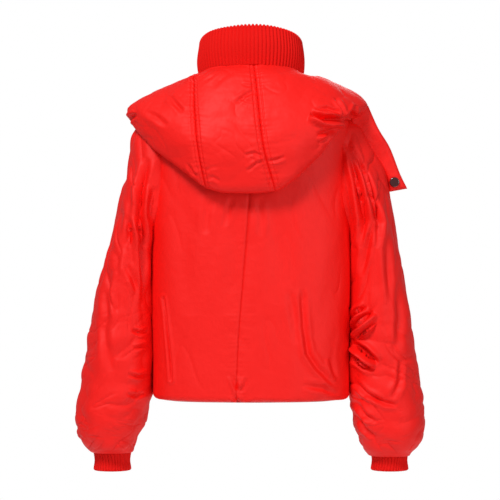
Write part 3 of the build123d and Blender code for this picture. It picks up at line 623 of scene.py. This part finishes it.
SLEEVE_CREASES = {
    "left": [
        ([(184, -140), (196, -190), (202, -245), (188, -300)], 7, 6.0, 0.4, 0.6),
        ([(193, -190), (197, -260), (194, -330), (190, -400)], 6, 4.4, 0.4, 0.4),
        ([(171, -190), (180, -225), (182, -255)], 8, 3.0, 0.4, 0.3),
        ([(215, -180), (212, -240), (224, -300), (222, -360)], 8, 3.2, 0.5, 0.3),
        ([(236, -230), (232, -290), (244, -345)], 8, 2.6, 0.5, 0.2),
        ([(250, -320), (262, -380), (254, -440)], 7, 2.6, 0.5, 0.3),
        ([(222, -330), (206, -365), (200, -380)], 6, 2.2, 0.5, 0.3),
        ([(262, -390), (262, -450), (250, -520)], 9, 2.4, 0.5, 0.3),
        ([(184, -448), (200, -452), (212, -446)], 4, 2.6, 0.5, 0.5),
        ([(184, -474), (198, -476), (210, -480)], 4, 2.4, 0.5, 0.5),
        ([(184, -527), (202, -530), (220, -526)], 4, 2.6, 0.5, 0.5),
        ([(188, -560), (204, -566), (222, -560)], 4, 2.0, 0.5, 0.5),
    ],
    "right": [
        ([(-172, -110), (-190, -180), (-202, -250), (-196, -300)], 6, 6.4, 0.4, 0.6),
        ([(-178, -115), (-200, -160), (-216, -215), (-228, -255), (-224, -300)], 6, 6.0, 0.4, 0.6),
        ([(-222, -255), (-205, -300), (-196, -350)], 7, 3.2, 0.5, 0.4),
        ([(-170, -196), (-174, -255), (-166, -330), (-160, -370)], 7, 3.0, 0.4, 0.4),
        ([(-240, -280), (-246, -340), (-252, -400)], 8, 2.8, 0.5, 0.3),
        ([(-262, -360), (-268, -420), (-262, -480)], 8, 2.6, 0.5, 0.3),
        ([(-176, -454), (-198, -434), (-216, -412)], 6, 9.0, 0.4, 1.0),
        ([(-180, -430), (-190, -415), (-206, -405)], 5, 5.0, 0.5, 0.5),
        ([(-182, -472), (-202, -482), (-226, -506)], 6, 8.5, 0.4, 1.0),
        ([(-184, -497), (-204, -512), (-220, -520)], 5, 4.0, 0.5, 0.5),
        ([(-186, -540), (-206, -560), (-232, -575)], 5, 3.2, 0.5, 0.5),
        ([(-186, -575), (-206, -600), (-226, -612)], 5, 3.2, 0.5, 0.5),
        ([(-192, -600), (-205, -625), (-222, -640)], 5, 3.0, 0.5, 0.5),
        ([(-210, -560), (-240, -578), (-262, -580)], 5, 2.2, 0.5, 0.4),
        ([(-270, -500), (-266, -540), (-250, -570)], 6, 2.6, 0.5, 0.4),
    ],
}


def sleeve_tube(side, inset=0.0, rows=400, columns=280):
    """Grid of a sleeve from its head down; inset moves the wall in."""
    mirror = 1 if side == "left" else -1
    marks = through(SLEEVE_MARKS[side], np.linspace(0, 1, rows))
    z, inner, outer, deep = np.moveaxis(marks, -1, 0)[..., None] * MM
    angle = np.linspace(0, 2 * np.pi, columns, endpoint=False)[None, :] * -mirror
    c, s = rounded(angle, 2.25)
    x = (inner + outer) / 2 + ((outer - inner) / 2 - inset) * c
    return np.stack([mirror * x, (deep - inset) * s, z + 0 * x], -1)


def sleeve_push(grid, side):
    """Long folds above the elbow, bunched pillows below it and fine gathers above the cuff."""
    z = grid[..., 2]
    upper = smoothstep(-480 * MM, -380 * MM, z)
    lower = 1 - upper
    gather = 1 - smoothstep(-650 * MM, -560 * MM, z)
    slope = -10 if side == "left" else 10
    push = 2.5 * MM * noise(grid, (50, 60, 150), 11)
    push = push + upper * 4.0 * MM * (pillows(turned(grid, slope), (32, 44, 150), 12) - 0.5)
    push = push + lower * 3.4 * MM * (pillows(grid, (60, 60, 40), 13) - 0.5)
    push = push + upper * 4.2 * MM * wrinkles(turned(grid, slope), (30, 40, 110), 16)
    push = push + lower * 2.8 * MM * wrinkles(turned(grid, 3 * slope), (60, 60, 22), 17)
    push = push + gather * 2.0 * MM * wrinkles(turned(grid, -2 * slope), (34, 34, 11), 14)
    push = push + 0.3 * MM * noise(grid, 11, 15)
    return push + creases(grid, SLEEVE_CREASES[side])


body_tree = surface_tree(body_pieces)
sleeve_pieces = {}
for side in ("left", "right"):
    base = sleeve_tube(side)
    rows = base.shape[0]
    share = np.linspace(0, 1, rows)[:, None]
    calm = 1 - smoothstep(0.955, 0.985, share)
    push = sleeve_push(base, side) * calm
    outer = base + normals(base, wrap=True) * push[..., None]
    wall = PAD * (1 - smoothstep(0.90, 0.985, share)) + 1.0 * MM
    away, facing = distance_outside(outer, body_tree)
    beside = 1 - smoothstep(-300 * MM, -250 * MM, outer[..., 2])
    shallow = smoothstep(-8 * MM, -2 * MM, away)
    outer = outer + facing * (np.maximum(0.8 * MM - away, 0) * beside * shallow)[..., None]
    inner = outer - normals(outer, wrap=True) * wall[..., None]
    inner = np.where((share > 0.93)[..., None], base - normals(base, wrap=True) * wall[..., None], inner)
    keep = ~quads_where(away < -12 * MM, wrap=True)
    piece = panel(f"sleeve_{side}", outer, inner, "red_nylon_satin", body=None, wrap=True, keep=keep)
    layers = [f"{part}_sleeve_{layer}_{side}" for part in ("upper", "lower") for layer in ("shell", "padding")]
    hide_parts(*layers)
    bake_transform(piece)
    sleeve_pieces[side] = piece
print("sleeves", [len(p.data.vertices) for p in sleeve_pieces.values()])

# %% [markdown]
# ## Rib knit collar and cuffs
# A rib knit is rows of plain and purl stitches: from outside it is a row of round cords with narrow
# valleys. The cords are real relief here. The collar is a double layer folded over at the top, and
# the fold makes the scalloped edge.

# %% Ribs
RIB = 6.8 * MM


def ribs(run, depth, sharp=0.55):
    """Height of round cords with narrow valleys, one every RIB of run."""
    wave = np.abs(np.sin(np.pi * run / RIB))
    return depth * (wave**sharp - 0.75)


# %% Collar
COLLAR_WALL = 11 * MM
COLLAR_STATIONS = [(0.0, -27, 74, 27, 92), (0.5, 10.5, 79, 64.5, 97), (1.0, 48, 75, 102, 93)]


def collar_ring(angle, height, inset):
    """Points of the collar wall: angle 0 is the wearer's left, height 0 the neck seam and 1 the fold."""
    front_z, deep, back_z, half_width = np.moveaxis(through(COLLAR_STATIONS, height), -1, 0) * MM
    near_y = -deep
    c, s = np.cos(angle), np.sin(angle)
    reach = np.hypot(deep - near_y, back_z - front_z)
    half = reach / 2 - inset
    y = half * s * (deep - near_y) / reach
    z = (front_z + back_z) / 2 + half * s * (back_z - front_z) / reach
    return np.stack([(half_width - inset) * c, y, z], -1)


cords, per_cord = 82, 9
collar_edge = np.arcsin(front_edge / (93 * MM))
turn = np.linspace(1.5 * np.pi + collar_edge, 3.5 * np.pi - collar_edge, cords * per_cord)[None, :]
outer_rows, fold_rows = 34, 14
wall_rise = np.linspace(0.015, 0.925, outer_rows)
height = np.concatenate([wall_rise, np.full(fold_rows, 0.925), wall_rise[::-1]])[:, None]
fold_turn = np.linspace(0, np.pi, fold_rows + 2)[1:-1]
roll = np.concatenate([np.zeros(outer_rows), fold_turn, np.full(outer_rows, np.pi)])[:, None]
inset = COLLAR_WALL / 2 * (1 - np.cos(roll)) + 0 * turn
lift = COLLAR_WALL / 2 * np.sin(roll)
surface = collar_ring(turn, height + 0 * turn, inset)
surface[..., 2] += lift
run = np.linspace(0, cords * RIB, cords * per_cord)[None, :] + 0 * inset
centre = collar_ring(turn, height + 0 * turn, np.full_like(inset, COLLAR_WALL / 2))
away = surface - centre
away = away / np.linalg.norm(away, axis=-1, keepdims=True)
soft = 1 + 0.25 * noise(surface, 30, 21)
surface = surface + away * (ribs(run, 4.6 * MM) * soft + 0.8 * MM * noise(surface, 45, 22))[..., None]
rows, columns, _ = surface.shape
r, c = np.meshgrid(np.arange(rows), np.arange(columns - 1), indexing="ij")
a = r * columns + c
b = ((r + 1) % rows) * columns + c
faces = np.stack([a, a + 1, b + 1, b], -1).reshape(-1, 4)
ends = []
for column, flip in ((0, True), (columns - 1, False)):
    for i in range(rows // 2 - 1):
        quad = [i * columns + column, (rows - 1 - i) * columns + column,
                (rows - 2 - i) * columns + column, (i + 1) * columns + column]
        ends.append(quad[::-1] if flip else quad)
faces = np.concatenate([faces, np.array(ends)])
collar = new_piece("collar", surface.reshape(-1, 3), faces, "red_rib_knit", "root")
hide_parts("knit_collar", "collar_padding")
print("collar", len(collar.data.polygons), "faces")

# %% Cuffs
CUFF_WALL = 5 * MM
cuff_rows, cuff_cords = 30, 36
for side in ("left", "right"):
    mirror = 1 if side == "left" else -1
    low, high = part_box(f"knit_cuff_{side}")
    angle = np.linspace(0, 2 * np.pi, cuff_cords * per_cord, endpoint=False)[None, :]
    share = np.linspace(0, 1, cuff_rows)[:, None]
    lip = CUFF_WALL / 2 * (1 - np.sqrt(1 - np.clip(1 - np.minimum(share, 1 - share) / 0.08, 0, 1)**2))
    z = high[2] + (low[2] - high[2]) * share
    half_x, half_y = (high[0] - low[0]) / 2, (high[1] - low[1]) / 2
    around, down = 0.03 * (angle + 0 * share), 0.03 * (share + 0 * angle)
    slant = 0.10 * mirror * (share - 0.5) + 0.05 * noise(np.stack([around, down, 0 * around], -1), 20, 31)
    cord = ribs(angle / (2 * np.pi) * cuff_cords * RIB + 0 * share, 2.4 * MM)
    waist = 1 + 0.03 * np.cos(2 * np.pi * share)
    grids = []
    for inward, sign in ((0.0, 1), (CUFF_WALL, -1)):
        size = sign * cord - inward - sign * lip
        x = (low[0] + high[0]) / 2 + (half_x * waist - 1.0 * MM + size) * np.cos(angle + slant)
        y = (low[1] + high[1]) / 2 + (half_y * waist - 1.0 * MM + size) * np.sin(angle + slant)
        grids.append(np.stack([x, y, z + 0 * x], -1))
    outer, inner = grids
    piece = panel(f"cuff_{side}", outer[::-1], inner[::-1], "red_rib_knit", f"sleeve_{side}", wrap=True)
    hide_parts(f"knit_cuff_{side}")
print("cuffs done")

# %% [markdown]
# ## The hood, folded down
# The hood lies on the shoulders like a thick collar: it leaves the neck seam, rolls out over the
# shoulders, hangs down the back and turns under. Four guide lines run round it, from the neck seam to
# the lower fold, and every section of the hood is a smooth curve through them. It is sewn from
# three padded panels, whose seams pull in with small puckers.

# %% Hood shape
NECK_TURN = [(-1, -144), (-0.9, -133), (-0.8, -118), (-0.68, -102), (-0.6, -92), (-0.53, -82), (-0.45, -68),
             (-0.36, -50), (-0.25, -28), (-0.13, -3), (0, 14), (0.15, 32), (0.3, 54), (0.42, 68), (0.52, 80),
             (0.6, 90), (0.68, 100), (0.8, 118), (0.9, 133), (1, 144)]
HOOD_TOP = [
    (-1, -63, -84, -30), (-0.9, -108, -66, -24), (-0.8, -130, -36, -12), (-0.68, -132, 8, 2), (-0.6, -126, 36, 7),
    (-0.53, -118, 60, 9), (-0.45, -104, 80, 9), (-0.36, -82, 100, 8), (-0.25, -46, 118, 6), (-0.13, -8, 122, 6),
    (0, 22, 122, 6), (0.15, 66, 114, 5), (0.3, 104, 90, 4), (0.42, 120, 68, 3), (0.52, 130, 48, 1),
    (0.6, 136, 30, -2), (0.68, 140, 8, -5), (0.8, 138, -36, -20), (0.9, 108, -66, -24), (1, 63, -84, -30)]
HOOD_OUT = [
    (-1, -64, -104, -66), (-0.9, -138, -86, -60), (-0.8, -192, -40, -48), (-0.68, -212, 30, -42),
    (-0.6, -192, 76, -46), (-0.53, -168, 108, -56), (-0.45, -140, 134, -70), (-0.36, -106, 150, -88),
    (-0.25, -66, 162, -106), (-0.13, -21, 166, -118), (0, 22, 166, -120), (0.15, 60, 164, -118),
    (0.3, 96, 157, -112), (0.42, 144, 132, -92), (0.52, 182, 100, -74), (0.6, 208, 68, -56),
    (0.66, 222, 40, -50), (0.72, 224, 14, -48),
    (0.8, 203, -40, -50), (0.9, 140, -86, -60), (1, 64, -104, -66)]
HOOD_FOLD = [
    (-1, -64, -102, -98), (-0.9, -130, -84, -94), (-0.8, -182, -44, -86), (-0.68, -190, 40, -72),
    (-0.6, -163, 84, -76), (-0.53, -152, 104, -97), (-0.45, -135, 124, -129), (-0.36, -108, 136, -156),
    (-0.25, -76, 144, -185), (-0.13, -44, 149, -202), (0, 0, 150, -206), (0.15, 46, 148, -205),
    (0.3, 81, 143, -197), (0.42, 133, 122, -160), (0.52, 173, 92, -131), (0.6, 194, 66, -109),
    (0.66, 214, 40, -86), (0.72, 223, 12, -72), (0.8, 190, -42, -86), (0.9, 130, -84, -94), (1, 64, -102, -98)]
HOOD_SEAMS = (-0.13, 0.3)
HOOD_HALF = 11 * MM
STITCH_OFFSET = 7.5 * MM
HOOD_CREASES = [
    ([(54, 14), (80, -2), (104, -16)], 4, 2.4, 0.5, 0.5),
    ([(60, 18), (90, 6), (112, -6)], 4, 2.0, 0.5, 0.4),
    ([(30, 16), (52, 2), (70, -18)], 6, 1.8, 0.4, 0.2),
    ([(-6, -22), (10, -32), (28, -46)], 4, 2.2, 0.5, 0.5),
    ([(-10, -44), (8, -42), (20, -36)], 3, 1.4, 0.5, 0.3),
    ([(-12, -8), (2, -14), (16, -12)], 3, 1.4, 0.5, 0.3),
    ([(-20, -140), (-4, -134), (12, -138)], 3.5, 2.0, 0.5, 0.5),
    ([(-26, -148), (-10, -152), (8, -166)], 3.5, 2.0, 0.5, 0.5),
    ([(-28, -150), (-44, -146), (-60, -140)], 3.5, 1.6, 0.5, 0.3),
    ([(84, -170), (72, -160), (58, -158)], 3.5, 1.6, 0.5, 0.4),
    ([(82, -180), (66, -176), (54, -184)], 3.5, 2.0, 0.5, 0.5),
    ([(92, -176), (102, -168), (112, -150)], 3.5, 1.6, 0.5, 0.4),
    ([(120, -60), (134, -44), (146, -30)], 5, 1.8, 0.5, 0.3),
    ([(150, -84), (170, -66), (186, -60)], 6, 1.6, 0.5, 0.3),
    ([(-104, -64), (-124, -74), (-146, -74), (-164, -72)], 5.5, 8.5, 0.5, 1.0),
    ([(-112, -57), (-134, -54), (-152, -61), (-164, -71)], 4, 2.6, 0.4, 0.2),
    ([(-116, -102), (-134, -96), (-156, -80)], 5, 3.6, 0.5, 0.6),
    ([(-118, -116), (-132, -106), (-148, -92)], 4, 2.4, 0.5, 0.4),
    ([(-150, -34), (-160, -52), (-166, -70)], 4, 3.4, 0.5, 0.4),
    ([(-176, -60), (-186, -66), (-196, -76), (-204, -86)], 7, 9.0, 0.3, 0.4),
    ([(-190, -44), (-182, -58), (-170, -70)], 4, 3.0, 0.5, 0.4),
    ([(206, -60), (218, -66), (226, -72)], 5, 4.0, 0.3, 0.6),
]


def hood_surface(s, v):
    """Outer face of the hood: s from the right front end (-1) round the back to the left (1), v from neck to fold."""
    turn = np.radians(through(NECK_TURN, s)[..., 0])
    neck = np.stack([101 * np.sin(turn), 83 * np.cos(turn), 27 * np.cos(turn) + 5], -1)
    guides = [neck, through(HOOD_TOP, s), through(HOOD_OUT, s), through(HOOD_FOLD, s)]
    places = np.array([0, 0.24, 0.66, 1.0])
    columns = []
    for i in range(s.shape[1]):
        marks = np.column_stack([places, *[[g[0, i, k] for g in guides] for k in range(3)]])
        columns.append(through(marks, v[:, i]))
    return np.stack(columns, 1) * MM


def hood_push(grid):
    """Fullness of the padding, puckers along the two seams and drawn creases."""
    push = 2.0 * MM * noise(grid, 90, 41) + 1.6 * MM * (pillows(grid, (60, 60, 45), 42) - 0.5)
    push = push + 1.2 * MM * wrinkles(turned(grid, 30), (50, 50, 24), 44)
    push = push + 0.35 * MM * noise(grid, 12, 43)
    return push + creases(grid, HOOD_CREASES)


rest_tree = surface_tree(body_pieces + list(sleeve_pieces.values()))
hood_rows = 150
hood_stretches = {
    "hood_side_right": (-1, HOOD_SEAMS[0], 260),
    "hood_centre": (*HOOD_SEAMS, 150),
    "hood_side_left": (HOOD_SEAMS[1], 1, 230),
}
hood_replaced = {
    "hood_side_right": ("hood_side_panel_right",),
    "hood_centre": ("hood_centre_panel", "hood_padding", "hood_lining", "hood_inner_padding"),
    "hood_side_left": ("hood_side_panel_left",),
}
hood_pieces = []
for name, (start, end, columns) in hood_stretches.items():
    s = np.linspace(start, end, columns)[None, :] * np.ones((hood_rows, 1))
    v = np.linspace(0, 1, hood_rows)[:, None] * np.ones((1, columns))
    base = hood_surface(s, v)
    face = normals(base)
    push = hood_push(base)
    run_down = edge_run(base, "bottom")
    thick = np.full(s.shape, HOOD_HALF)
    for side in ("left", "right"):
        run = edge_run(base, side)
        sewn = (start if side == "left" else end) in HOOD_SEAMS
        width = 13 * MM
        near = np.clip(run / width, 0, 1)
        thick = thick * (0.42 + 0.58 * np.sqrt(1 - (1 - near)**2)) if sewn else thick * np.sqrt(1 - (1 - near)**2)
        if sewn:
            push = push + seam_puckers(run, run_down, 2.4, 9, 10)
            stitching = np.exp(-((run - STITCH_OFFSET) / (1.3 * MM))**2)
            push = push - 2.2 * MM * stitching
    near = np.clip(edge_run(base, "top") / (20 * MM), 0, 1)
    thick = thick * np.sqrt(1 - (1 - near)**2)
    near = np.clip(run_down / (10 * MM), 0, 1)
    thick = thick * (0.4 + 0.6 * np.sqrt(1 - (1 - near)**2))
    thick = np.maximum(thick, 0.4 * MM)
    middle = base - face * HOOD_HALF
    outer = middle + face * (thick + push * np.minimum(thick / HOOD_HALF, 1))[..., None]
    inner = middle - face * thick[..., None]
    for _ in range(2):
        away, facing = distance_outside(inner, rest_tree)
        inner = inner + facing * np.maximum(2.0 * MM - away, 0)[..., None] * (away > -25 * MM)[..., None]
    piece = panel(name, outer, inner, "red_nylon_satin", "hood")
    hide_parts(*hood_replaced[name])
    hood_pieces.append(piece)
print("hood", [len(p.data.vertices) for p in hood_pieces])

# %% [markdown]
# ## Chin flaps of the hood
# A chin flap is a small padded tongue at each front corner of the hood. It would close under the chin,
# and here it hangs free. Its outline is drawn by its two long edges.

# %% Chin flaps


def flap(name, edges, depth_line, half, body, facing):
    """A padded tongue between two edge curves given as (share, x, z) marks; depth_line gives its y.

    It is sewn into the hood above the hinge; here it is baked in place and not attached to a body.
    """
    rows, columns = 90, 60
    share = np.linspace(0, 1, rows)
    first, second = [through(edge, share)[:, None, :] for edge in edges]
    across = np.linspace(0, 1, columns)[None, :, None]
    flat = (first + (second - first) * across) * MM
    depth = through(depth_line, share)[:, None, 0] * MM * np.ones((1, columns))
    middle = np.stack([flat[..., 0], depth, flat[..., 1]], -1)
    normal = normals(middle)
    normal = normal * np.sign(normal[rows // 2, columns // 2, 1] * facing)
    thick = np.full((rows, columns), half * MM)
    for side in ("left", "right", "top", "bottom"):
        near = np.clip(edge_run(middle, side) / (9 * MM), 0, 1)
        thick = thick * np.sqrt(1 - (1 - near)**2)
    thick = np.maximum(thick, 0.4 * MM)
    push = 0.8 * MM * noise(middle, (22, 30, 26), 51) + 0.5 * MM * (pillows(middle, 16, 52) - 0.5)
    outer = middle + normal * (thick + push * thick / half / MM)[..., None]
    inner = middle - normal * (thick + push * thick / half / MM)[..., None]
    flipped = np.cross(middle[0, 1] - middle[0, 0], middle[1, 0] - middle[0, 0]) @ normal[0, 0] < 0
    if flipped:
        outer, inner = outer[::-1], inner[::-1]
    piece = panel(name, outer, inner, "red_nylon_satin", body=None)
    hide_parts(body)
    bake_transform(piece)
    return piece


RIGHT_FLAP_EDGES = (
    [(0, -172, -52), (0.25, -184, -94), (0.5, -216, -128), (0.8, -246, -174), (1, -251, -198)],
    [(0, -212, -42), (0.25, -231, -84), (0.5, -252, -118), (0.8, -272, -168), (1, -284, -192)])
flap("chin_flap_right", RIGHT_FLAP_EDGES, [(0, 26), (0.25, 26), (0.6, 16), (1, 13)], 7, "hood_flap_right", 1)
low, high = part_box("hood_flap_left")
x_low, z_low = low[0] / MM, low[2] / MM
x_high, z_high = high[0] / MM, high[2] / MM
LEFT_FLAP_EDGES = (
    [(0, x_low, z_high + 16), (0.8, x_low + 6, z_low + 16), (1, x_low + 14, z_low)],
    [(0, x_high, z_high + 16), (0.8, x_high - 6, z_low + 16), (1, x_high - 14, z_low)])
depth = (low[1] + high[1]) / 2 / MM
flap("chin_flap_left", LEFT_FLAP_EDGES, [(0, depth + 14), (0.2, depth), (1, depth)], 6, "hood_flap_left", -1)

# %% [markdown]
# ## Stage, light and camera
# The jacket hangs in a white studio. A bright even surround keeps the shadows pale, and one large soft
# light from above the camera gives the folds their direction. A long lens from behind shows the
# whole back without distortion.

# %% Stage
floor_mesh = bpy.data.meshes.new("floor")
size = 1.1
floor_z = cuff_low[2] - 0.35
corners = [(x, y, floor_z) for x, y in ((-size, -size), (size, -size), (size, size), (-size, size))]
floor_mesh.from_pydata(corners, [], [(0, 1, 2, 3)])
floor = bpy.data.objects.new("floor", floor_mesh)
bpy.context.scene.collection.objects.link(floor)
new_material("white_seamless_paper", "#FBFBFB", Roughness=0.9)
floor_mesh.materials.append(materials["white_seamless_paper"])

# %% Light
bpy.context.scene.view_settings.view_transform = "Standard"
world = bpy.data.worlds.new("white_studio")
bpy.context.scene.world = world
world.use_nodes = True
sky = world.node_tree
ambient = sky.nodes["Background"]
ambient.inputs["Color"].default_value = (1, 1, 1, 1)
ambient.inputs["Strength"].default_value = 0.30
backdrop = add_node(sky, "ShaderNodeBackground", {}, {"Color": (1, 1, 1, 1), "Strength": 1.0})
seen = add_node(sky, "ShaderNodeLightPath", {}, {}).outputs["Is Camera Ray"]
mixed = add_node(sky, "ShaderNodeMixShader", {}, {0: seen, 1: ambient.outputs[0], 2: backdrop.outputs[0]})
sky.links.new(mixed.outputs[0], sky.nodes["World Output"].inputs["Surface"])


def soft_light(name, place, look, size, power):
    """A square area light that looks at a point."""
    lamp = bpy.data.lights.new(name, "AREA")
    lamp.size = size
    lamp.energy = power
    light = bpy.data.objects.new(name, lamp)
    light.location = place
    away = np.array(place, float) - np.array(look, float)
    yaw = math.atan2(away[0], -away[1])
    pitch = math.atan2(math.hypot(away[0], away[1]), away[2])
    light.rotation_euler = (pitch, 0, yaw)
    bpy.context.scene.collection.objects.link(light)
    return light


soft_light("key", (1.2, 2.4, 2.1), (0, 0, -0.3), 0.9, 88)
soft_light("side", (-1.9, 2.4, 0.1), (0, 0, -0.3), 1.2, 22)
soft_light("fill", (-0.5, -3.2, 1.0), (0, 0, -0.3), 1.8, 45)

# %% Camera
camera_data = bpy.data.cameras.new("camera")
camera = bpy.data.objects.new("camera", camera_data)
bpy.context.scene.collection.objects.link(camera)
bpy.context.scene.camera = camera
view_width = 0.900
camera_distance = 4.0
look_at = np.array([0.0018, 0.05, -0.3035])
camera.location = look_at + np.array([0, camera_distance, 0])
camera.rotation_euler = (math.pi / 2, 0, math.pi)
camera_data.lens = camera_data.sensor_width * camera_distance / view_width
